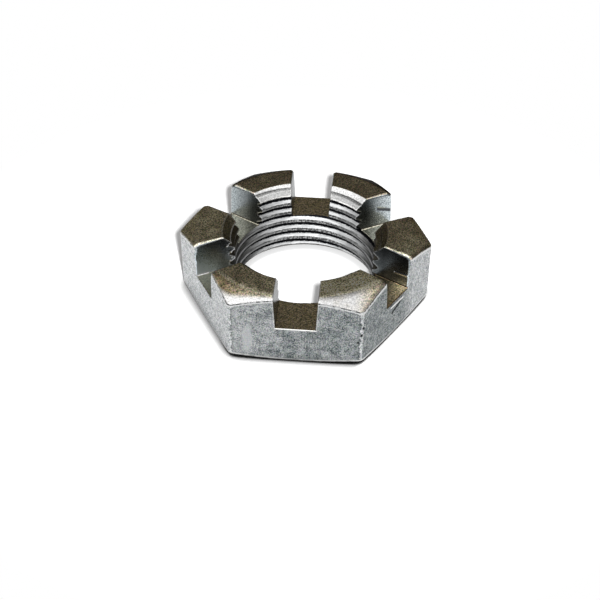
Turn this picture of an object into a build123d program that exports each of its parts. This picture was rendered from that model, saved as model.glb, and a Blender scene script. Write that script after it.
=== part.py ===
"""Thin slotted hexagon nut for a 1"-14 axle spindle thread, made from bar.

One piece: a hexagon turned to a cone on top and a shallow bevel below, bored
and countersunk for the thread, with six tapered slots milled across the top.
The origin is at the centre of the bearing face, +Z along the thread axis.
The hexagon's flats face -Y and +Y, with a slot in the middle of each flat.
"""

import os
from math import hypot, radians, tan

from build123d import *

INCH = 25.4

# Hexagon
across_flats = 1.4375 * INCH
height = 0.5 * INCH
corner_round = 1.2

# Turned faces: a 30 degree cone on top and a shallow bevel round the bearing face
top_land_radius = 17.85
top_cone_angle = 30
bearing_radius = 17.25
bottom_bevel_angle = 13

# Thread: the bore is at the minor diameter of 1"-14, with a countersink at each end
major_diameter = 1.0 * INCH
threads_per_inch = 14
pitch = INCH / threads_per_inch
minor_diameter = major_diameter - 1.0825 * pitch
top_countersink_diameter = 27.3
top_countersink_angle = 43
bottom_countersink_diameter = 25.6
bottom_countersink_angle = 45

# Slots: 1/4 in wide at the floor, opening upwards
slot_count = 6
slot_floor_width = 0.25 * INCH
slot_depth = 6.0
slot_wall_draft = 3
slot_floor_round = 0.25
slot_edge_round = 0.5

# Worked out from the dimensions above
bore_radius = minor_diameter / 2
blank_radius = across_flats / 2 / 0.8
top_countersink_depth = (top_countersink_diameter / 2 - bore_radius) * tan(radians(top_countersink_angle))
bottom_countersink_depth = (bottom_countersink_diameter / 2 - bore_radius) * tan(radians(bottom_countersink_angle))
cone_drop = (blank_radius - top_land_radius) * tan(radians(top_cone_angle))
bevel_rise = (blank_radius - bearing_radius) * tan(radians(bottom_bevel_angle))
slot_floor_height = height - slot_depth
slot_reach = across_flats
slot_top = height + 1
slot_top_width = slot_floor_width + 2 * (slot_top - slot_floor_height) * tan(radians(slot_wall_draft))


def turned_outline():
    """Half section of the turned blank: the bore, both countersinks, the cone and the bevel."""
    return [
        (bottom_countersink_diameter / 2, 0),
        (bearing_radius, 0),
        (blank_radius, bevel_rise),
        (blank_radius, height - cone_drop),
        (top_land_radius, height),
        (top_countersink_diameter / 2, height),
        (bore_radius, height - top_countersink_depth),
        (bore_radius, bottom_countersink_depth),
    ]


def slot_section():
    """Slot section in its own plane, from the floor to above the top face."""
    return [
        (-slot_floor_width / 2, slot_floor_height),
        (slot_floor_width / 2, slot_floor_height),
        (slot_top_width / 2, slot_top),
        (-slot_top_width / 2, slot_top),
    ]


def is_slot_wall(face):
    """The slot walls are the only plane faces that lean a few degrees from upright."""
    return face.geom_type == GeomType.PLANE and 0.01 < abs(face.normal_at().Z) < 0.5


def is_outer_edge(edge):
    """Above the slot floor and outside the countersink."""
    middle = edge.center()
    above_floor = middle.Z > slot_floor_height + 2 * slot_floor_round
    return above_floor and hypot(middle.X, middle.Y) > top_countersink_diameter / 2


with BuildPart() as castle_nut:
    # Hexagon bar, with the rounded corners of drawn stock
    with BuildSketch() as hexagon:
        RegularPolygon(across_flats / 2, 6, major_radius=False)
        fillet(hexagon.vertices(), corner_round)
    extrude(amount=height)

    # Everything the lathe cuts: cone, bevel, bore and countersinks
    with BuildSketch(Plane.XZ) as turned_section:
        with BuildLine():
            Polyline(*turned_outline(), close=True)
        make_face()
    revolve(axis=Axis.Z, mode=Mode.INTERSECT)

    # Each cutter pass mills two opposite slots
    for turn in range(slot_count // 2):
        cutter_plane = Plane.XZ.rotated((0, 0, turn * 360 / slot_count))
        with BuildSketch(cutter_plane) as slot:
            with BuildLine():
                Polyline(*slot_section(), close=True)
            make_face()
            fillet(slot.vertices().group_by(Axis.Z)[0], slot_floor_round)
        extrude(amount=slot_reach, both=True, mode=Mode.SUBTRACT)

    # Each slot wall is rounded over into the land, the cone and the flat beside it
    slot_walls = castle_nut.faces().filter_by(is_slot_wall)
    fillet(slot_walls.edges().filter_by(is_outer_edge), slot_edge_round)

castle_nut.part.label = "castle_nut"

os.makedirs("parts", exist_ok=True)
export_step(castle_nut.part, "parts/castle_nut.step")
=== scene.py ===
from math import cos, pi, radians, sin, tan

import bpy
import numpy as np
from mathutils import Matrix, Vector


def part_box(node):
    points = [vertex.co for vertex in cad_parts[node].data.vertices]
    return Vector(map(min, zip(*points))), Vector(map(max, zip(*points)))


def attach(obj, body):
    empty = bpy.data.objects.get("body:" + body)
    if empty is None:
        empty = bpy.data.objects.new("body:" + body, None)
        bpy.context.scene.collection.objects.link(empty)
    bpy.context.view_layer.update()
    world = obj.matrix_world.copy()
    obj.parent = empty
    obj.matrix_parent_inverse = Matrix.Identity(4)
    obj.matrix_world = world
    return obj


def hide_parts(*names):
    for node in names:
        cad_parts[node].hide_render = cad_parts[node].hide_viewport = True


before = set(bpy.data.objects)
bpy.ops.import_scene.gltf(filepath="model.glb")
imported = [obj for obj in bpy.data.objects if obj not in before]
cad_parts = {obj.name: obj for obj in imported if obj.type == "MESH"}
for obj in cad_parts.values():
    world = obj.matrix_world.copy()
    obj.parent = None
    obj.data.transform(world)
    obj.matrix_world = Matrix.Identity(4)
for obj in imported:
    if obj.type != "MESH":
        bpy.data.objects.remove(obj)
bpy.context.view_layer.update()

MM = 0.001
NODE = "castle_nut"

# ---------------------------------------------------------------- sizes, millimetres
nut_low, nut_high = (np.array(corner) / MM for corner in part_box(NODE))
height = nut_high[2]
half_flats = nut_high[1]

corner_round = 1.2
cone_edge_round = 0.2
land_edge_round_back = 0.12
land_edge_round_front = 0.45
top_land_radius = 17.85
top_cone_angle = radians(30)
bearing_radius = 17.25
bottom_bevel_angle = radians(13)

pitch = 25.4 / 14
major_radius = 12.7
minor_radius = major_radius - 0.54127 * pitch
flank_angle = radians(30)
thread_root_height = 6.86       # of one root, on the +Y side
run_out_drop = 0.36             # of the last turn, which leaves the thread in the top countersink
run_out_width = 0.13
run_out_depth = 0.13
top_countersink_radius = 13.65
top_countersink_angle = radians(43)
bottom_countersink_radius = 12.8
bottom_countersink_angle = radians(45)

slot_floor_width = 6.35
slot_depth = 6.0
slot_draft = radians(3)
slot_corner_round = 0.15
slot_edge_round_bore = 0.3
slot_edge_round_flats = 0.42
slot_edge_round_top = 0.75      # by the flats
front_slot_edge_round = 0.15
left_prong_edge_round = 0.14
slot_floor = height - slot_depth
slot_turns = [radians(60 * turn) for turn in range(3)]

# Knocks and scratches: start, end, half width and depth. Those with a depth below zero are raised, and are
# painted bright as a highlight; those cut in are painted dark.
knocks = [
    ((10.65, -17.97, 7.60), (10.66, -17.96, 7.45), 0.22, 0.25),    # pits in the front right corner
    ((10.42, -18.08, 6.20), (10.40, -18.09, 6.05), 0.20, 0.22),
    ((9.90, -18.26, 4.80), (9.88, -18.26, 4.70), 0.15, 0.12),
    ((14.76, -10.95, 6.15), (16.56, -7.83, 6.05), 0.18, -0.20),    # burr under the front right slot
    ((15.09, -10.38, 4.70), (16.21, -8.44, 5.50), 0.26, 0.16),
    ((11.77, 10.66, 10.1), (13.85, 11.82, 9.31), 0.22, 0.32),      # step left by the cutter
    ((15.12, -4.94, 8.79), (17.07, -6.05, 8.99), 0.14, -0.12),     # scratch on the right prong
    ((-3.3, -18.26, 6.66), (3.3, -18.26, 6.66), 0.08, -0.06),      # lip at the front slot's floor, painted bright as a highlight
    ((-17.2, -6.26, 6.82), (-15.6, -5.34, 6.82), 0.14, -0.03),     # painted highlight at the foot of the left prong's wall
    ((-12.63, -3.37, 10.95), (-12.55, -3.32, 11.0), 0.14, -0.22),  # burrs on the left prong's teeth
    ((-11.97, -2.97, 11.23), (-12.0, -2.99, 11.1), 0.12, -0.20),
    ((-12.06, -3.12, 9.72), (-12.0, -3.1, 9.6), 0.14, -0.20),
    ((-11.87, -3.07, 8.62), (-11.9, -3.1, 8.5), 0.12, -0.20),
    ((-12.20, -3.30, 7.93), (-12.1, -3.25, 7.9), 0.14, -0.20),
    ((-11.82, -3.12, 7.42), (-11.9, -3.16, 7.4), 0.12, -0.20),
]

mesh_step = 0.14                # of the grid that the mesh is made on
most_triangles = 195000         # left after the mesh is thinned

# Finishes.
bright_edge_reach = 0.3                 # reach of the bright edges, painted as wear and as a highlight
grain_size = 0.22               # of the steel's grain, which is drawn as coarse as it needs to show
pit_size = 0.8                  # of the pits that scale left in the drawn bar
chatter_spacing = 0.42
dark_arch_half_width = 9.15    # of the darker arch on the front flat: scale, and painted shade
dark_arch_drop = 1.3           # from the cone down to that arch
film_up_wall = 0.16             # reach of the slot floors' film
front_right = (sin(pi / 3), -cos(pi / 3), 0)   # which way the front right flat faces


# ---------------------------------------------------------------- the nut's surfaces
# Each function gives the distance in millimetres from a point to one surface of the nut,
# below zero on the metal's side. The nut is what lies on the metal's side of all of them.

def hexagon_bar(x, y, z):
    """Six flats with rounded corners between them."""
    x, y = np.abs(x), np.abs(y)
    flat = half_flats - corner_round
    past_mirror = 2 * np.minimum(-sin(pi / 3) * x + cos(pi / 3) * y, 0)
    u = x + sin(pi / 3) * past_mirror
    v = y - cos(pi / 3) * past_mirror
    u = u - np.clip(u, -tan(pi / 6) * flat, tan(pi / 6) * flat)
    return np.hypot(u, v - flat) * np.sign(v - flat) - corner_round


def top_land(x, y, z):
    return z - height


def bearing_face(x, y, z):
    return -z


def top_cone(x, y, z):
    return (np.hypot(x, y) - top_land_radius) * sin(top_cone_angle) + (z - height) * cos(top_cone_angle)


def bottom_bevel(x, y, z):
    return (np.hypot(x, y) - bearing_radius) * sin(bottom_bevel_angle) - z * cos(bottom_bevel_angle)


def top_countersink(x, y, z):
    inwards = top_countersink_radius - np.hypot(x, y)
    return inwards * sin(top_countersink_angle) - (height - z) * cos(top_countersink_angle)


def bottom_countersink(x, y, z):
    inwards = bottom_countersink_radius - np.hypot(x, y)
    return inwards * sin(bottom_countersink_angle) - z * cos(bottom_countersink_angle)


def thread(x, y, z):
    """The 60 degree thread, right hand, with its flat crests and narrow roots."""
    radius = np.hypot(x, y)
    turn = (np.arctan2(y, x) - pi / 2) / (2 * pi)
    along = (z - thread_root_height) / pitch - turn
    from_root = np.abs(along - np.round(along)) * pitch
    flank = major_radius - (from_root - pitch / 16) / tan(flank_angle)
    on_flank = (flank - radius) * sin(flank_angle)
    return np.minimum(major_radius - radius, np.maximum(minor_radius - radius, on_flank))


def slots(x, y, z):
    """Three passes of the cutter, each through two opposite flats."""
    nearest = None
    for turn in slot_turns:
        across = np.abs(x * cos(turn) + y * sin(turn))
        to_wall = (slot_floor_width / 2 + (z - slot_floor) * tan(slot_draft) - across) * cos(slot_draft)
        to_floor = z - slot_floor
        near_wall = np.maximum(slot_corner_round - to_wall, 0)
        near_floor = np.maximum(slot_corner_round - to_floor, 0)
        inner = np.hypot(near_wall, near_floor)
        cut = np.maximum(np.minimum(to_wall, to_floor), slot_corner_round) - inner
        nearest = cut if nearest is None else np.maximum(nearest, cut)
    return nearest


def graded(value, start, end, first, last):
    """A measure that goes from first to last while a value goes from start to end."""
    return first + np.clip((value - start) / (end - start), 0, 1) * (last - first)


def thread_run_out(x, y, z):
    """How deep the thread's last turn has scored the countersink on the +Y side."""
    turn = np.arctan2(y, x) - pi / 2
    beside = (z - thread_root_height + run_out_drop - 3 * pitch - pitch * turn / (2 * pi)) / run_out_width
    fading = graded(np.abs(turn), radians(62), radians(50), 0, 1)
    return run_out_depth * fading * np.exp(-beside ** 2) * (z > slot_floor)


def strokes(x, y, z):
    """How deep the knocks and scratches are, or how high where the metal was pushed up."""
    depth = 0
    for start, end, half_width, deepest in knocks:
        start, end = np.array(start), np.array(end)
        run = end - start
        px, py, pz = x - start[0], y - start[1], z - start[2]
        along = np.clip((px * run[0] + py * run[1] + pz * run[2]) / max(run @ run, 1e-9), 0, 1)
        off = (px - along * run[0]) ** 2 + (py - along * run[1]) ** 2 + (pz - along * run[2]) ** 2
        depth = depth + deepest * np.exp(-off / half_width ** 2)
    return depth


def rounded(first, second, radius):
    """The metal inside two surfaces, with the edge where they meet rounded over."""
    past = np.hypot(np.maximum(first + radius, 0), np.maximum(second + radius, 0))
    return np.minimum(np.maximum(first, second), -radius) + past


def nut_distance(x, y, z):
    """The whole nut, with edges that are rounder in some places than in others.

    The land's edge is rounder in front. The slots' edges are rounder out by the flats, and most of all
    at the top there, but crisp at the front slot's outer end and low on the left prong.
    """
    land_edge_round = graded(y, -2, -10, land_edge_round_back, land_edge_round_front)
    crown = rounded(top_land(x, y, z), top_cone(x, y, z), land_edge_round)
    blank = rounded(hexagon_bar(x, y, z), crown, cone_edge_round)
    outer_round = graded(z, 10.8, 12.2, slot_edge_round_flats, slot_edge_round_top)
    edge_round = graded(np.hypot(x, y), 13, 19, slot_edge_round_bore, outer_round)
    edge_round = np.where((y < -12) & (np.abs(x) < 7), front_slot_edge_round, edge_round)
    left_prong = graded(x, -15, -16.5, 0, 1) * graded(y, -3, -5, 0, 1) * graded(z, 11.4, 10.4, 0, 1)
    edge_round = edge_round + left_prong * (left_prong_edge_round - edge_round)
    distance = rounded(blank, slots(x, y, z), edge_round)
    distance = np.maximum(distance, top_countersink(x, y, z) + thread_run_out(x, y, z))
    for surface in (bearing_face, bottom_bevel, bottom_countersink, thread):
        distance = np.maximum(distance, surface(x, y, z))
    return distance + strokes(x, y, z)


# The surfaces with each finish, in the order of the materials: drawn bar, turned, milled and cut thread.
finishes = [
    [hexagon_bar],
    [top_land, top_cone, bearing_face, bottom_bevel, top_countersink, bottom_countersink],
    [slots],
    [thread],
]


# ---------------------------------------------------------------- meshing

def slope(points):
    """Which way the distance grows at each point, as unit vectors."""
    tiny = 0.004
    gradient = np.empty_like(points)
    for axis in range(3):
        step = np.zeros(3)
        step[axis] = tiny
        gradient[:, axis] = nut_distance(*(points + step).T) - nut_distance(*(points - step).T)
    return gradient / np.maximum(np.linalg.norm(gradient, axis=1, keepdims=True), 1e-9)


def crossings(distance, axes, axis):
    """Where grid lines along one axis go through the surface: their cells, points and facing."""
    ahead = [slice(None)] * 3
    behind = [slice(None)] * 3
    ahead[axis] = slice(1, None)
    behind[axis] = slice(None, -1)
    first, last = distance[tuple(behind)], distance[tuple(ahead)]
    cell = np.argwhere((first < 0) != (last < 0))
    near = np.stack([axes[k][cell[:, k]] for k in range(3)], axis=1)
    near_distance = first[tuple(cell.T)].astype(float)
    far = near.copy()
    far[:, axis] += mesh_step
    far_distance = last[tuple(cell.T)].astype(float)
    for _ in range(6):  # each time the crossing is shut in more tightly
        share = np.clip(near_distance / (near_distance - far_distance), 0.05, 0.95)
        middle = near + (far - near) * share[:, None]
        middle_distance = nut_distance(*middle.T)
        same = (middle_distance < 0) == (near_distance < 0)
        near[same], near_distance[same] = middle[same], middle_distance[same]
        far[~same], far_distance[~same] = middle[~same], middle_distance[~same]
    share = near_distance / (near_distance - far_distance)
    return cell, near + (far - near) * share[:, None], first[tuple(cell.T)] < 0


def mesh_of_nut():
    """Points and quads on the nut's surface, with points exactly on its edges and corners.

    Each grid cell that the surface goes through gets one point, where the planes that touch
    the surface at the cell's crossings meet.
    """
    low = nut_low - 2.5 * mesh_step  # the grid has a few cells of air round the nut
    counts = np.ceil((nut_high - nut_low) / mesh_step).astype(int) + 6
    axes = [low[k] + mesh_step * np.arange(counts[k]) for k in range(3)]
    grid = np.meshgrid(*(a.astype(np.float32) for a in axes), indexing="ij")
    distance = nut_distance(*grid)

    found = [crossings(distance, axes, axis) for axis in range(3)]
    rings = []
    for axis, (cell, point, outwards) in enumerate(found):
        one, two = (axis + 1) % 3, (axis + 2) % 3
        ring = np.repeat(cell[:, None, :], 4, axis=1)
        ring[:, [1, 2], one] -= 1
        ring[:, [2, 3], two] -= 1
        rings.append(np.ravel_multi_index(np.moveaxis(ring, 2, 0), counts))
    cells, rank = np.unique(np.concatenate([r.ravel() for r in rings]), return_inverse=True)
    points = np.concatenate([np.repeat(point, 4, axis=0) for _, point, _ in found])
    normals = np.concatenate([np.repeat(slope(point), 4, axis=0) for _, point, _ in found])

    total = len(cells)
    share = np.bincount(rank, minlength=total)[:, None]
    centre = np.stack([np.bincount(rank, points[:, k], total) for k in range(3)], axis=1) / share
    offset = np.einsum("ij,ij->i", normals, points - centre[rank])
    pull = np.stack([np.bincount(rank, normals[:, k] * offset, total) for k in range(3)], axis=1)
    planes = np.empty((total, 3, 3))
    for j in range(3):
        for k in range(3):
            planes[:, j, k] = np.bincount(rank, normals[:, j] * normals[:, k], total)
    planes += 0.03 * np.eye(3)  # a light pull to the middle of the crossings, for cells with one plane
    move = np.linalg.solve(planes, pull[:, :, None])[:, :, 0]
    corner = np.stack(np.unravel_index(cells, counts), axis=1)
    cell_low = low + mesh_step * corner
    placed = np.clip(centre + move, cell_low, cell_low + mesh_step)

    quads, start = [], 0
    for (cell, _, outwards), ring in zip(found, rings):
        corners = rank[start:start + ring.size].reshape(ring.shape)
        start += ring.size
        corners[~outwards] = corners[~outwards, ::-1]
        quads.append(corners)
    return placed, np.concatenate(quads)


def make_nut():
    """The nut as one mesh, thinned to the number of triangles that it may have."""
    points, quads = mesh_of_nut()
    mesh = bpy.data.meshes.new("castle_nut_steel")
    mesh.from_pydata((points * MM).tolist(), [], quads.tolist())
    nut = bpy.data.objects.new("castle_nut_steel", mesh)
    bpy.context.collection.objects.link(nut)
    if 2 * len(quads) > most_triangles:
        thinner = nut.modifiers.new("fewer faces", "DECIMATE")
        thinner.ratio = most_triangles / (2 * len(quads))
        bpy.context.view_layer.update()
        thinned = bpy.data.meshes.new_from_object(nut.evaluated_get(bpy.context.evaluated_depsgraph_get()))
        nut.modifiers.clear()
        nut.data = thinned
        nut.data.name = "castle_nut_steel"
    nut.data.shade_smooth()
    return nut


def finish_faces(nut):
    """Give each face the finish of the surface that it lies on."""
    mesh = nut.data
    centres = np.empty(3 * len(mesh.polygons))
    mesh.polygons.foreach_get("center", centres)
    centres = centres.reshape(-1, 3) / MM
    nearest = [np.max([surface(*centres.T) for surface in group], axis=0) for group in finishes]
    mesh.polygons.foreach_set("material_index", np.argmax(nearest, axis=0).astype(np.int32))


nut = make_nut()
finish_faces(nut)
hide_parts(NODE)
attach(nut, "root")


# ---------------------------------------------------------------- materials
# The shaders work in metres, so each size in millimetres is multiplied by MM. A Map Range node's first
# two numbers say from where to where, and the next two from how much to how much: 0 and 1 where they
# aren't given. The front is -Y, the back +Y, the left -X and the right +X.

def linear(colour):
    """An sRGB hex colour as linear red, green, blue and alpha."""
    parts = [int(colour[start:start + 2], 16) / 255 for start in (1, 3, 5)]
    return (*(part / 12.92 if part <= 0.04045 else ((part + 0.055) / 1.055) ** 2.4 for part in parts), 1)


def feed(socket, value):
    """Set an input to a value, or link another node's output to it."""
    if isinstance(value, bpy.types.NodeSocket):
        socket.id_data.links.new(value, socket)
    else:
        socket.default_value = value


def add(tree, kind, *values, output=None, **named):
    """Add a node and return one of its outputs: the first in use, unless another is named.

    The values go to the inputs in use, in order. Of the names, those with a capital are inputs too,
    with _ for a space, and the rest are settings. An input takes a value or another node's output.
    """
    node = tree.nodes.new("ShaderNode" + kind)
    for name, value in named.items():
        if name[0].islower():
            setattr(node, name, value)
    for socket, value in zip([socket for socket in node.inputs if socket.enabled], values):
        feed(socket, value)
    for name, value in named.items():
        if name[0].isupper():
            feed(node.inputs[name.replace("_", " ")], value)
    return node.outputs[output] if output else next(socket for socket in node.outputs if socket.enabled)


def new_steel(name):
    """A bare steel: its tree, its shader, the nut's own coordinates and where its edges are painted bright,
    as wear and as a highlight.
    """
    material = bpy.data.materials.new(name)
    material.use_nodes = True
    tree = material.node_tree
    shader = tree.nodes["Principled BSDF"]
    feed(shader.inputs["Metallic"], 1)
    place = add(tree, "TexCoord", output="Object")
    edge = add(tree, "AmbientOcclusion", Distance=bright_edge_reach * MM, output="AO", samples=8, inside=True)
    wear_and_highlight = add(tree, "MapRange", edge, 0.95, 0.72)
    return material, tree, shader, place, wear_and_highlight


def measured(tree, place):
    """A place's x, y and z, and its distance from the nut's axis."""
    flat = add(tree, "VectorMath", place, (1, 1, 0), operation="MULTIPLY")
    radius = add(tree, "VectorMath", flat, operation="LENGTH")
    return (*add(tree, "SeparateXYZ", place).node.outputs, radius)


def oval(tree, place, centre, half_size):
    """How far out a place is in an oval patch: 0 at its centre and 1 at its edge."""
    here = add(tree, "VectorMath", place, [-part * MM for part in centre], operation="ADD")
    here = add(tree, "VectorMath", here, [1 / (half * MM) for half in half_size], operation="MULTIPLY")
    return add(tree, "VectorMath", here, operation="LENGTH")


def marked(tree, place, raised):
    """Where the knocks are: those cut in, or those raised as a burr. Their marks are a little wider."""
    mask = None
    for start, end, half_width, depth in knocks:
        if (depth < 0) != raised:
            continue
        run = Vector(end) - Vector(start)
        here = add(tree, "VectorMath", place, Vector(start) * MM, operation="SUBTRACT")
        along = add(tree, "VectorMath", here, run / (run.length_squared * MM), operation="DOT_PRODUCT")
        along = add(tree, "MapRange", along)
        nearest = add(tree, "VectorMath", run * MM, along, operation="SCALE")
        off = add(tree, "VectorMath", here, nearest, operation="DISTANCE")
        knock = add(tree, "MapRange", off, 1.35 * half_width * MM, 0.8 * half_width * MM)
        if mask is not None:
            knock = add(tree, "Math", mask, knock, operation="MAXIMUM")
        mask = knock
    return mask


def drawn_bar_steel():
    """The hexagon's flats: grey and pitted where scale was drawn in, brighter where it has rubbed off, with
    painted shade on the front flats and painted highlights along the edges.
    """
    material, tree, shader, place, wear_and_highlight = new_steel("drawn bar steel")
    x, y, z, radius = measured(tree, place)
    blotch = add(tree, "TexNoise", Vector=place, Scale=1 / (pit_size * MM), Detail=5, Roughness=0.8)
    speck = add(tree, "TexNoise", Vector=place, Scale=1 / (grain_size * MM), Detail=1)
    pitted = add(tree, "Math", blotch, speck, operation="ADD")
    spread = add(tree, "MapRange", pitted, 0.82, 1.18)
    clean = add(tree, "Mix", spread, linear("#9da0a1"), linear("#e9ebec"), data_type="RGBA")
    scaled_and_shaded = add(tree, "Mix", spread, linear("#485053"), linear("#a9b0b0"), data_type="RGBA")

    # Scale and painted shade lie in an arch under the cone on the front flat, with a ragged edge and a darker
    # rim.
    cone_cos, cone_sin = cos(top_cone_angle), sin(top_cone_angle)
    below = add(tree, "Math", z, -cone_cos, height * MM * cone_cos, operation="MULTIPLY_ADD")
    below = add(tree, "Math", radius, -cone_sin, below, operation="MULTIPLY_ADD")
    below_cone = add(tree, "Math", below, top_land_radius * MM * cone_sin, operation="ADD")
    beside = add(tree, "Math", x, operation="ABSOLUTE")
    beside = add(tree, "Math", beside, dark_arch_half_width * MM, operation="SUBTRACT")
    beside = add(tree, "Math", beside, 0, operation="MAXIMUM")
    above = add(tree, "Math", dark_arch_drop * MM, below_cone, operation="SUBTRACT")
    above = add(tree, "Math", above, 0, operation="MAXIMUM")
    outside = add(tree, "CombineXYZ", beside, above)
    outside = add(tree, "VectorMath", outside, operation="LENGTH")
    ragged = add(tree, "Math", blotch, 1.6 * MM, outside, operation="MULTIPLY_ADD")
    arch = add(tree, "MapRange", ragged, 1.90 * MM, 1.80 * MM)
    rim = add(tree, "MapRange", ragged, 1.5 * MM, 1.8 * MM, 0, 0.6)
    rim = add(tree, "Math", rim, arch, operation="MULTIPLY")
    # It is rubbed thin in clouds, thinner at the left where the flat is painted lighter, lies whole on the
    # front right flat as painted shade there, and is thin behind, where the flats are painted lighter.
    lighter_left = add(tree, "MapRange", x, -9 * MM, -1 * MM, 0.5, 0.85)
    cloud = add(tree, "TexNoise", Vector=place, Scale=1 / (2.6 * MM), Detail=2)
    cloudy = add(tree, "MapRange", cloud, 0.35, 0.65, 0.7, 1.3)
    rubbed_and_lit = add(tree, "Math", lighter_left, cloudy, operation="MULTIPLY")
    front_flat = add(tree, "Math", arch, rubbed_and_lit, operation="MULTIPLY")
    right_flat = add(tree, "MapRange", x, 10.55 * MM, 10.7 * MM, 0, 1.1)
    scale_and_shade = add(tree, "Math", front_flat, right_flat, operation="MAXIMUM")
    behind = add(tree, "MapRange", y, -8 * MM, -5 * MM, 1, 0.25)
    scale_and_shade = add(tree, "Math", scale_and_shade, behind, operation="MULTIPLY")
    grey = add(tree, "Mix", scale_and_shade, clean, scaled_and_shaded, data_type="RGBA")

    # Chatter marks right of the front flat's middle, the scale's rim, and a patch rubbed clean at its left.
    # A wave texture repeats every 0.314 at scale 1.
    ripple = add(
        tree, "TexWave", Vector=place, Scale=0.314 / (chatter_spacing * MM),
        Distortion=2, Detail=1, Detail_Scale=0.3, output="Fac",
    )
    chatter = add(tree, "MapRange", oval(tree, place, (2.7, -18.3, 4.6), (2.6, 3, 2.2)), 1, 0.6, 0, 0.3)
    chatter = add(tree, "Math", chatter, ripple, operation="MULTIPLY")
    grey = add(tree, "Mix", chatter, grey, linear("#3a4144"), data_type="RGBA")
    grey = add(tree, "Mix", rim, grey, linear("#3c4346"), data_type="RGBA")
    patch = add(tree, "MapRange", oval(tree, place, (-7.6, -18.3, 4.1), (0.9, 3, 3.1)), 1.1, 0.7, 0, 0.75)
    grey = add(tree, "Mix", patch, grey, linear("#c6c9ca"), data_type="RGBA")
    tint = add(tree, "Mix", 0.25, grey, speck.node.outputs["Color"], data_type="RGBA", blend_type="OVERLAY")

    # Edges painted bright, as wear and as a highlight: patchy, and none at the far left.
    uneven = add(tree, "MapRange", blotch, 0.3, 0.5)
    bright = add(tree, "Math", wear_and_highlight, uneven, operation="MULTIPLY")
    off_far_left = add(tree, "MapRange", x, -12 * MM, -9 * MM)
    bright = add(tree, "Math", bright, off_far_left, operation="MULTIPLY")
    colour = add(tree, "Mix", bright, tint, linear("#f0f0ee"), data_type="RGBA")

    # Painted highlights: a bright band under the cone and another above the bottom bevel.
    from_cone = add(tree, "Math", blotch, 1.1 * MM, below_cone, operation="MULTIPLY_ADD")
    band = add(tree, "MapRange", from_cone, 1.05 * MM, 0.8 * MM)
    bevel_cos, bevel_sin = cos(bottom_bevel_angle), sin(bottom_bevel_angle)
    foot = add(tree, "Math", z, bevel_cos, bearing_radius * MM * bevel_sin, operation="MULTIPLY_ADD")
    foot = add(tree, "Math", radius, -bevel_sin, foot, operation="MULTIPLY_ADD")
    foot = add(tree, "MapRange", foot, 0.36 * MM, 0.22 * MM)
    band = add(tree, "Math", band, foot, operation="MAXIMUM")
    band = add(tree, "Math", band, 0.9, operation="MULTIPLY")
    colour = add(tree, "Mix", band, colour, linear("#e9eae9"), data_type="RGBA")

    # A thin dark line with gaps where the flats meet the cone.
    line = add(tree, "MapRange", below_cone, 0.2 * MM, 0.14 * MM)
    gaps = add(tree, "MapRange", blotch, 0.49, 0.53)
    right_end = add(tree, "MapRange", x, 12.5 * MM, 11.5 * MM)
    for factor in (gaps, right_end):
        line = add(tree, "Math", line, factor, operation="MULTIPLY")
    colour = add(tree, "Mix", line, colour, linear("#30363a"), data_type="RGBA")
    # Painted dark in the knocks that are cut in, and painted bright as a highlight on the raised burrs.
    colour = add(tree, "Mix", marked(tree, place, False), colour, linear("#25282a"), data_type="RGBA")
    colour = add(tree, "Mix", marked(tree, place, True), colour, linear("#fbfbf9"), data_type="RGBA")
    feed(shader.inputs["Base Color"], colour)
    feed(shader.inputs["Roughness"], add(tree, "MapRange", spread, 0, 1, 0.5, 0.34))
    feed(shader.inputs["Normal"], add(tree, "Bump", Height=pitted, Distance=0.04 * MM, Strength=1))
    return material


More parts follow.
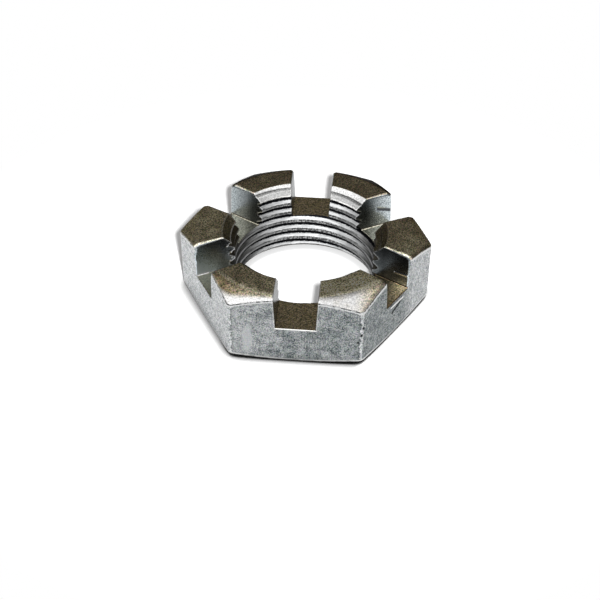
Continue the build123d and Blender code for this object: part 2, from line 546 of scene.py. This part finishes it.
def turned_steel():
    """The lathe's cuts: a brown film of burnt oil on the land, with painted light and shade, rubbed bright
    and painted bright as a highlight down the cone near the slots.
    """
    material, tree, shader, place, wear_and_highlight = new_steel("turned steel")
    x, y, z, radius = measured(tree, place)
    grain = add(tree, "TexNoise", Vector=place, Scale=1 / (grain_size * MM), Detail=2)
    cloud = add(tree, "TexNoise", Vector=place, Scale=1 / (2.2 * MM), Detail=4, Roughness=0.65)
    spread = add(tree, "MapRange", grain, 0.36, 0.64)
    film = add(tree, "Mix", spread, linear("#69634f"), linear("#dad2b9"), data_type="RGBA")

    # How light the film is: clouded, painted lighter as light to the front, the front right and the far left,
    # and painted darker as shade down the cone and by the front right flat.
    level = add(tree, "MapRange", cloud, 0.35, 0.65, 0.8, 1.3)
    to_front = add(tree, "MapRange", y, 10 * MM, 2 * MM, 0.85, 1.05)
    to_right = add(tree, "VectorMath", place, (0.5, -0.85, 0), operation="DOT_PRODUCT")
    to_right = add(tree, "MapRange", to_right, 8 * MM, 16 * MM, 1, 1.9)
    to_left = add(tree, "MapRange", x, -15 * MM, -13.5 * MM, 1.3, 1)
    past_land = add(tree, "MapRange", radius, 17.7 * MM, 18.1 * MM)
    front_cone = add(tree, "MapRange", y, -10 * MM, -5 * MM, 0.42, 1)
    back_cone = add(tree, "MapRange", y, 4 * MM, 9 * MM, 1, 0.35)
    on_cone = add(tree, "Math", front_cone, back_cone, operation="MULTIPLY")
    on_cone = add(tree, "Mix", past_land, 1, on_cone)
    to_flat = add(tree, "VectorMath", place, front_right, operation="DOT_PRODUCT")
    to_flat = add(tree, "MapRange", to_flat, 17.5 * MM, 18 * MM, 1, 0.4)
    for factor in (to_front, to_right, to_left, on_cone, to_flat):
        level = add(tree, "Math", level, factor, operation="MULTIPLY")
    film = add(tree, "VectorMath", film, level, operation="SCALE")

    # It is thickest, and so browner, on the cone at the front left.
    thick = add(tree, "MapRange", x, -12 * MM, -7 * MM, 1, 0.25)
    in_front = add(tree, "MapRange", y, -8 * MM, -10 * MM)
    for factor in (in_front, past_land):
        thick = add(tree, "Math", thick, factor, operation="MULTIPLY")
    warm = add(tree, "Mix", thick, (1, 1, 1, 1), (0.8, 0.73, 0.57, 1), data_type="RGBA")
    film = add(tree, "VectorMath", film, warm, operation="MULTIPLY")
    film = add(tree, "Mix", 0.65, film, grain.node.outputs["Color"], data_type="RGBA", blend_type="OVERLAY")

    # The front cone is rubbed to bare metal and painted bright as a highlight, from further up towards the
    # right, and painted duller to the right.
    start = add(tree, "MapRange", x, -10.5 * MM, -4.5 * MM, 19.25 * MM, 17.7 * MM)
    fade = add(tree, "MapRange", x, -3 * MM, 0, 0.9 * MM, 0.4 * MM)
    sooner = add(tree, "MapRange", x, -3 * MM, 2 * MM, 0, 0.32 * MM)
    down = add(tree, "Math", radius, start, operation="SUBTRACT")
    down = add(tree, "Math", down, sooner, operation="ADD")
    rubbed_and_lit = add(tree, "MapRange", down, 0, fade, interpolation_type="SMOOTHSTEP")
    front = add(tree, "MapRange", y, -9 * MM, -13 * MM)
    right_end = add(tree, "MapRange", x, 9 * MM, 11.8 * MM, 1, 0.12)
    patchy = add(tree, "MapRange", cloud, 0.3, 0.5, 0.7)
    for factor in (front, right_end, to_flat, patchy):
        rubbed_and_lit = add(tree, "Math", rubbed_and_lit, factor, operation="MULTIPLY")
    metal = add(tree, "Mix", spread, linear("#b4b3b2"), linear("#e9e9e8"), data_type="RGBA")
    duller = add(tree, "MapRange", x, -2 * MM, 6 * MM, 1, 0.7)
    metal = add(tree, "VectorMath", metal, duller, operation="SCALE")
    top = add(tree, "Mix", rubbed_and_lit, film, metal, data_type="RGBA")

    # The countersink is bare at the back and darker low down, with painted shade in the groove where the
    # thread's last turn has scored it, and darker in front.
    inside = add(tree, "MapRange", radius, 13.7 * MM, 13.58 * MM)
    bare = add(tree, "Mix", spread, linear("#a9a9a8"), linear("#dededd"), data_type="RGBA")
    low = add(tree, "MapRange", z, 12.0 * MM, 11.8 * MM, 1, 0.62)
    bare = add(tree, "VectorMath", bare, low, operation="SCALE")
    turn = add(tree, "Math", y, x, operation="ARCTAN2")
    scored = add(tree, "Math", turn, -pitch * MM / (2 * pi), z, operation="MULTIPLY_ADD")
    score_height = thread_root_height - run_out_drop + 3 * pitch - pitch / 4
    scored = add(tree, "Math", scored, score_height * MM, operation="SUBTRACT")
    scored = add(tree, "Math", scored, operation="ABSOLUTE")
    scored = add(tree, "MapRange", scored, 0.16 * MM, 0.08 * MM, 0, 0.8)
    torn = add(tree, "MapRange", grain, 0.4, 0.52)
    scored = add(tree, "Math", scored, torn, operation="MULTIPLY")
    bare = add(tree, "Mix", scored, bare, linear("#2c2f31"), data_type="RGBA")
    darker_film = add(tree, "VectorMath", film, 0.45, operation="SCALE")
    behind = add(tree, "MapRange", y, 7.0 * MM, 8.5 * MM)
    countersink = add(tree, "Mix", behind, darker_film, bare, data_type="RGBA")
    top = add(tree, "Mix", inside, top, countersink, data_type="RGBA")

    # Edges painted bright, as wear and as a highlight: fainter at the back, strong along the thread's teeth,
    # and crisp at the far left.
    kept = add(tree, "MapRange", y, -2 * MM, 6 * MM, 1, 0.15)
    toothed = add(tree, "Math", inside, 0.8, operation="MULTIPLY")
    kept = add(tree, "Math", kept, toothed, operation="MAXIMUM")
    uneven = add(tree, "MapRange", grain, 0.3, 0.5, 0.4)
    bright = wear_and_highlight
    for factor in (kept, uneven):
        bright = add(tree, "Math", bright, factor, operation="MULTIPLY")
    sharp = add(tree, "MapRange", wear_and_highlight, 0.14, 0.28)
    far_left = add(tree, "MapRange", x, -11.5 * MM, -12.5 * MM)
    bright = add(tree, "Mix", far_left, bright, sharp)
    colour = add(tree, "Mix", bright, top, linear("#f4f3f0"), data_type="RGBA")
    feed(shader.inputs["Base Color"], colour)
    feed(shader.inputs["Roughness"], 0.32)
    feed(shader.inputs["Specular Tint"], linear("#3a352c"))
    feed(shader.inputs["Normal"], add(tree, "Bump", Height=grain, Distance=0.025 * MM, Strength=1))
    return material


def milled_steel():
    """The slots: smooth and blue-grey on the walls, with the brown film lying on their floors."""
    material, tree, shader, place, wear_and_highlight = new_steel("milled steel")
    x, y, z, radius = measured(tree, place)
    grain = add(tree, "TexNoise", Vector=place, Scale=1 / (grain_size * MM), Detail=2)
    spread = add(tree, "MapRange", grain, 0.34, 0.66)
    to_back = add(tree, "MapRange", y, 0, 3 * MM)
    sideways = add(tree, "Math", x, operation="ABSOLUTE")

    # The walls: painted shade darkens them near the bore, in the front and back slots, and upwards in front,
    # and they are painted lighter to the left in front and to the right behind.
    wall = add(tree, "Mix", spread, linear("#7d8588"), linear("#b1b8ba"), data_type="RGBA")
    level = add(tree, "MapRange", radius, 13.8 * MM, 18 * MM, 0.17, 1.0)
    front_level = add(tree, "MapRange", x, -13 * MM, 13 * MM, 2.2, 1.15)
    back_level = add(tree, "MapRange", x, -8 * MM, 8 * MM, 1.0, 1.4)
    across = add(tree, "Mix", to_back, front_level, back_level)
    front_upper = add(tree, "MapRange", z, 7 * MM, 12 * MM, 2.0, 0.5)
    front_slot = add(tree, "MapRange", sideways, 5 * MM, 7 * MM, 0.2, 1)
    front_upper = add(tree, "Math", front_upper, front_slot, operation="MULTIPLY")
    back_slot = add(tree, "MapRange", sideways, 4.5 * MM, 6 * MM, 0.55, 1.25)
    upper = add(tree, "Mix", to_back, front_upper, back_slot)
    for factor in (across, upper):
        level = add(tree, "Math", level, factor, operation="MULTIPLY")
    wall = add(tree, "VectorMath", wall, level, operation="SCALE")
    wall = add(tree, "VectorMath", wall, (0.78, 0.86, 0.92), operation="MINIMUM")

    # The film on the floors: brown, but thinner and greyer in the back left and back right slots, and
    # darker and greyer at the front left slot's outer end.
    film = add(tree, "Mix", spread, linear("#7c7059"), linear("#f6e9cb"), data_type="RGBA")
    film = add(tree, "Mix", 0.6, film, grain.node.outputs["Color"], data_type="RGBA", blend_type="OVERLAY")
    left_level = add(tree, "MapRange", x, -13 * MM, -8 * MM, 0.45, 1)
    left_level = add(tree, "Mix", to_back, left_level, 1)
    film = add(tree, "VectorMath", film, left_level, operation="SCALE")
    thin_film = add(tree, "Mix", spread, linear("#8a887b"), linear("#d0cec0"), data_type="RGBA")
    right_back = add(tree, "MapRange", x, 5 * MM, 9 * MM, 1, 1.6)
    thin_film = add(tree, "VectorMath", thin_film, right_back, operation="SCALE")
    thin = add(tree, "MapRange", sideways, 5 * MM, 9 * MM, 0, 0.75)
    thin = add(tree, "Math", thin, to_back, operation="MULTIPLY")
    film = add(tree, "Mix", thin, film, thin_film, data_type="RGBA")
    left_grey = add(tree, "MapRange", x, -11 * MM, -12.5 * MM, 0, 0.7)
    left_grey = add(tree, "Mix", to_back, left_grey, 0)
    film = add(tree, "Mix", left_grey, film, linear("#73756a"), data_type="RGBA")

    # The front right floor is browner, and painted darker by the bore as shade. Every floor is painted dark
    # along its walls, as shade in the corner.
    right_front = add(tree, "MapRange", x, 6 * MM, 9 * MM)
    right_front = add(tree, "Mix", to_back, right_front, 0)
    brown = add(tree, "Mix", right_front, (1, 1, 1, 1), (0.66, 0.58, 0.47, 1), data_type="RGBA")
    film = add(tree, "VectorMath", film, brown, operation="MULTIPLY")
    near_bore = add(tree, "MapRange", radius, 15 * MM, 17 * MM, 0.25, 1)
    near_bore = add(tree, "Mix", right_front, 1, near_bore)
    in_corner = add(tree, "MapRange", z, (slot_floor + 0.01) * MM, (slot_floor + 0.06) * MM, 1, 0.45)
    dark = add(tree, "Math", in_corner, near_bore, operation="MULTIPLY")
    film = add(tree, "VectorMath", film, dark, operation="SCALE")

    # The film reaches a little way up the walls, and hardly at all in the front left slot.
    up_wall = add(tree, "MapRange", x, -8 * MM, -4 * MM, 0, film_up_wall * MM)
    up_wall = add(tree, "Mix", to_back, up_wall, film_up_wall * MM)
    above_film = add(tree, "Math", z, up_wall, operation="SUBTRACT")
    low = add(tree, "MapRange", above_film, (slot_floor + 0.12) * MM, (slot_floor + 0.04) * MM)
    colour = add(tree, "Mix", low, wall, film, data_type="RGBA")

    # Edges painted bright, as wear and as a highlight, and raised burrs painted bright as a highlight: clear
    # of the floor, fainter to the right, and at the far left only along the top.
    fainter = add(tree, "MapRange", x, -10 * MM, 8 * MM, 1, 0.4)
    off_left = add(tree, "MapRange", x, -14.5 * MM, -13.5 * MM)
    along_top = add(tree, "MapRange", z, 11.2 * MM, 11.8 * MM)
    off_left = add(tree, "Math", off_left, along_top, operation="MAXIMUM")
    above_floor = add(tree, "MapRange", z, (slot_floor + 0.3) * MM, (slot_floor + 0.5) * MM)
    bright = wear_and_highlight
    for factor in (fainter, off_left, above_floor):
        bright = add(tree, "Math", bright, factor, operation="MULTIPLY")
    bright = add(tree, "Math", bright, marked(tree, place, True), operation="MAXIMUM")
    colour = add(tree, "Mix", bright, colour, linear("#f2f2f2"), data_type="RGBA")
    # The knocks cut in are painted darker.
    colour = add(tree, "Mix", marked(tree, place, False), colour, linear("#55585a"), data_type="RGBA")

    # The wall at the front left is rougher towards the floor. The others are smooth all the way.
    rough = add(tree, "MapRange", z, 7 * MM, 10.5 * MM, 0.48, 0.24)
    from_left = add(tree, "MapRange", x, -11 * MM, -7 * MM)
    for smooth in (from_left, to_back):
        rough = add(tree, "Mix", smooth, rough, 0.24)
    feed(shader.inputs["Base Color"], colour)
    feed(shader.inputs["Roughness"], rough)
    feed(shader.inputs["Normal"], add(tree, "Bump", Height=grain, Distance=0.02 * MM, Strength=1))
    return material


def cut_thread_steel():
    """The thread: flanks torn a little by the tap, painted bright at the back, painted shade along the roots.
    """
    material, tree, shader, place, wear_and_highlight = new_steel("cut thread steel")
    x, y, z, radius = measured(tree, place)

    # Fine streaks run along the helix, so the noise is laid out flat, with less change round the axis.
    angle = add(tree, "Math", y, x, operation="ARCTAN2")
    around = add(tree, "Math", angle, 0.8 * MM, operation="MULTIPLY")
    unrolled = add(tree, "CombineXYZ", radius, around, z)
    streak = add(tree, "TexNoise", Vector=unrolled, Scale=1 / (0.14 * MM), Detail=3)
    spread = add(tree, "MapRange", streak, 0.32, 0.66)
    flank = add(tree, "Mix", spread, linear("#a2a4a5"), linear("#f4f5f5"), data_type="RGBA")

    # Painted shade: darker to the sides, on the prongs there, and in dappled patches on the crests.
    sideways = add(tree, "Math", x, operation="ABSOLUTE")
    shade = add(tree, "MapRange", sideways, 1 * MM, 10.5 * MM, 1, 0.3)
    above_floor = add(tree, "MapRange", z, slot_floor * MM, (slot_floor + 0.4) * MM)
    at_side = add(tree, "MapRange", sideways, 8.5 * MM, 10 * MM, 0, 0.65)
    side_prong = add(tree, "Math", above_floor, at_side, operation="MULTIPLY")
    off_prong = add(tree, "Math", 1, side_prong, operation="SUBTRACT")
    speck = add(tree, "TexNoise", Vector=place, Scale=1 / (0.3 * MM), Detail=2)
    crest_shade = add(tree, "MapRange", speck, 0.52, 0.44, 0.12, 0.85)
    to_side = add(tree, "MapRange", sideways, 4 * MM, 9 * MM, 0, 0.8)
    crest_shade = add(tree, "Mix", to_side, crest_shade, 0.8)
    crest = add(tree, "MapRange", radius, (minor_radius + 0.04) * MM, (minor_radius + 0.14) * MM, crest_shade, 1)
    for factor in (off_prong, crest):
        shade = add(tree, "Math", shade, factor, operation="MULTIPLY")
    flank = add(tree, "VectorMath", flank, shade, operation="SCALE")
    # Edges painted a little bright, as wear and as a highlight.
    bright = add(tree, "Math", wear_and_highlight, 0.25, operation="MULTIPLY")
    flank = add(tree, "Mix", bright, flank, linear("#f2f2f2"), data_type="RGBA")

    # Painted shade in the roots, and the brown film on the side prongs.
    depth = add(tree, "Math", speck, 0.35 * MM, radius, operation="MULTIPLY_ADD")
    root_shade = add(tree, "MapRange", depth, 12.47 * MM, 12.55 * MM)
    colour = add(tree, "Mix", root_shade, flank, linear("#121317"), data_type="RGBA")
    film = add(tree, "Mix", spread, linear("#3f392b"), linear("#6b634d"), data_type="RGBA")
    on_prong = add(tree, "Math", side_prong, 1.2, operation="MULTIPLY", use_clamp=True)
    colour = add(tree, "Mix", on_prong, colour, film, data_type="RGBA")
    feed(shader.inputs["Base Color"], colour)
    feed(shader.inputs["Roughness"], 0.36)

    # The torn flanks catch light as if they leaned in towards the axis.
    outwards = add(tree, "VectorMath", place, (1, 1, 0), operation="MULTIPLY")
    outwards = add(tree, "VectorMath", outwards, operation="NORMALIZE")
    inwards = add(tree, "VectorMath", outwards, -0.3, operation="SCALE")
    facing = add(tree, "NewGeometry", output="Normal")
    leaning = add(tree, "VectorMath", facing, inwards, operation="ADD")
    leaning = add(tree, "VectorMath", leaning, operation="NORMALIZE")
    feed(shader.inputs["Normal"], leaning)
    return material


for make_steel in (drawn_bar_steel, turned_steel, milled_steel, cut_thread_steel):
    nut.data.materials.append(make_steel())

# ---------------------------------------------------------------- camera
view_azimuth = radians(4.630)
view_elevation = radians(39.849)
view_roll = radians(0.444)
view_distance = 184.5
view_aim = Vector((0.09, -10.55, 6.35))
back = Vector((
    sin(view_azimuth) * cos(view_elevation),
    -cos(view_azimuth) * cos(view_elevation),
    sin(view_elevation),
))
view_from = view_aim + back * view_distance
camera_data = bpy.data.cameras.new("camera")
camera_data.sensor_width = 36
camera_data.lens = 68.6436
camera_data.clip_start = 0.01
camera = bpy.data.objects.new("camera", camera_data)
bpy.context.collection.objects.link(camera)
camera.matrix_world = (
    Matrix.Translation(view_from * MM)
    @ back.to_track_quat("Z", "Y").to_matrix().to_4x4()
    @ Matrix.Rotation(view_roll, 4, "Z")
)
scene = bpy.context.scene
scene.camera = camera
scene.view_settings.view_transform = "Standard"


# ---------------------------------------------------------------- floor and light

def white_paper():
    """The floor: matt white paper, with a soft grey shadow round the nut and a dark line under its edge."""
    material = bpy.data.materials.new("white paper")
    material.use_nodes = True
    tree = material.node_tree
    paper = tree.nodes["Principled BSDF"]
    feed(paper.inputs["Base Color"], linear("#f4f4f4"))
    feed(paper.inputs["Roughness"], 0.9)
    place = add(tree, "TexCoord", output="Object")
    x = add(tree, "SeparateXYZ", place)
    from_centre = add(tree, "VectorMath", place, operation="LENGTH")
    in_bore = add(tree, "MapRange", from_centre, 15 * MM, 13 * MM)

    # Dark where the nut touches it, but not in the bore, and hardly at the left.
    gap = add(tree, "AmbientOcclusion", Distance=1.3 * MM, output="AO", samples=16)
    touching = add(tree, "MapRange", gap, 0.44, 0.67, 0.02, interpolation_type="SMOOTHSTEP")
    left = add(tree, "MapRange", x, -11 * MM, -13 * MM, 0, 0.8)
    for lighter in (in_bore, left):
        touching = add(tree, "Math", touching, lighter, operation="MAXIMUM")

    # Grey for 2 to 3 mm round the nut, less in the bore and hardly beside the front right flat.
    reach = add(tree, "MapRange", x, -14 * MM, -19 * MM, 2.3 * MM, 2.8 * MM)
    near = add(tree, "AmbientOcclusion", Distance=reach, output="AO", samples=16)
    near = add(tree, "MapRange", near, 0.5, 0.96, 0.67, 0, interpolation_type="SMOOTHSTEP")
    beside_flat = add(tree, "VectorMath", place, front_right, operation="DOT_PRODUCT")
    beside_flat = add(tree, "MapRange", beside_flat, 17.6 * MM, 18.4 * MM, 1, 0.1)
    less_in_bore = add(tree, "MapRange", in_bore, 0, 1, 1, 0.55)
    for factor in (beside_flat, less_in_bore):
        near = add(tree, "Math", near, factor, operation="MULTIPLY")
    level = add(tree, "Math", 1, near, operation="SUBTRACT")
    level = add(tree, "Math", level, touching, operation="MULTIPLY")

    # The steel mirrors the sheet as white. Straight on, it is grey paper that the flash lights to white
    # outside its shadow, and that turns plain white further out.
    white = add(tree, "Emission", level, 1.0)
    glow = add(tree, "Emission", level, 0.04)
    grey = add(tree, "Math", level, 0.35, operation="MULTIPLY")
    flash_lit = add(tree, "AddShader", glow, add(tree, "BsdfDiffuse", grey))
    far = add(tree, "MapRange", from_centre, 45 * MM, 70 * MM)
    straight_on = add(tree, "MixShader", far, flash_lit, white)
    path = add(tree, "LightPath").node.outputs
    mirrored = add(tree, "Math", path["Is Glossy Ray"], path["Is Transmission Ray"], operation="MAXIMUM")
    indirect = add(tree, "MixShader", mirrored, paper.outputs[0], white)
    surface = add(tree, "MixShader", path["Is Camera Ray"], indirect, straight_on)
    feed(tree.nodes["Material Output"].inputs["Surface"], surface)
    return material


floor_size = 4.0  # metres
floor_corners = [(-0.5, -0.5), (0.5, -0.5), (0.5, 0.5), (-0.5, 0.5)]
floor_mesh = bpy.data.meshes.new("floor")
floor_mesh.from_pydata([(x * floor_size, y * floor_size, 0) for x, y in floor_corners], [], [(0, 1, 2, 3)])
floor_mesh.materials.append(white_paper())
floor = bpy.data.objects.new("floor", floor_mesh)
bpy.context.collection.objects.link(floor)

softbox_data = bpy.data.lights.new("softbox", "AREA")
softbox_data.shape = "RECTANGLE"
softbox_data.size = 1.4
softbox_data.size_y = 1.0
softbox_data.energy = 7.2
softbox = bpy.data.objects.new("softbox", softbox_data)
softbox.location = (-0.1, -0.35, 0.5)
bpy.context.collection.objects.link(softbox)

# Beside the camera, so that the nut's shadow falls just behind its outline. It lights the floor alone,
# as strongly far away as near.
flash_data = bpy.data.lights.new("flash for the floor's shadow", "POINT")
flash_data.shadow_soft_size = 5.5 * MM
flash_data.energy = 1
flash_data.use_nodes = True
even = add(flash_data.node_tree, "LightFalloff", Strength=190, output="Constant")
feed(flash_data.node_tree.nodes["Emission"].inputs["Strength"], even)
flash = bpy.data.objects.new("flash for the floor's shadow", flash_data)
flash.location = (view_from + Vector((10, 7, 0))) * MM
bpy.context.collection.objects.link(flash)
floor_alone = bpy.data.collections.new("floor alone")
floor_alone.objects.link(floor)
flash.light_linking.receiver_collection = floor_alone

# The room is dim and neutral, and a little darker and warmer behind the nut.
room = bpy.data.worlds.new("world")
scene.world = room
room.use_nodes = True
tree = room.node_tree
y = add(tree, "SeparateXYZ", add(tree, "TexCoord", output="Generated")).node.outputs["Y"]
front = add(tree, "MapRange", y, 0.35, -0.1, interpolation_type="SMOOTHSTEP")
walls = add(tree, "Mix", front, (0.115, 0.105, 0.085, 1), (0.22, 0.22, 0.23, 1), data_type="RGBA")
feed(tree.nodes["Background"].inputs["Color"], walls)
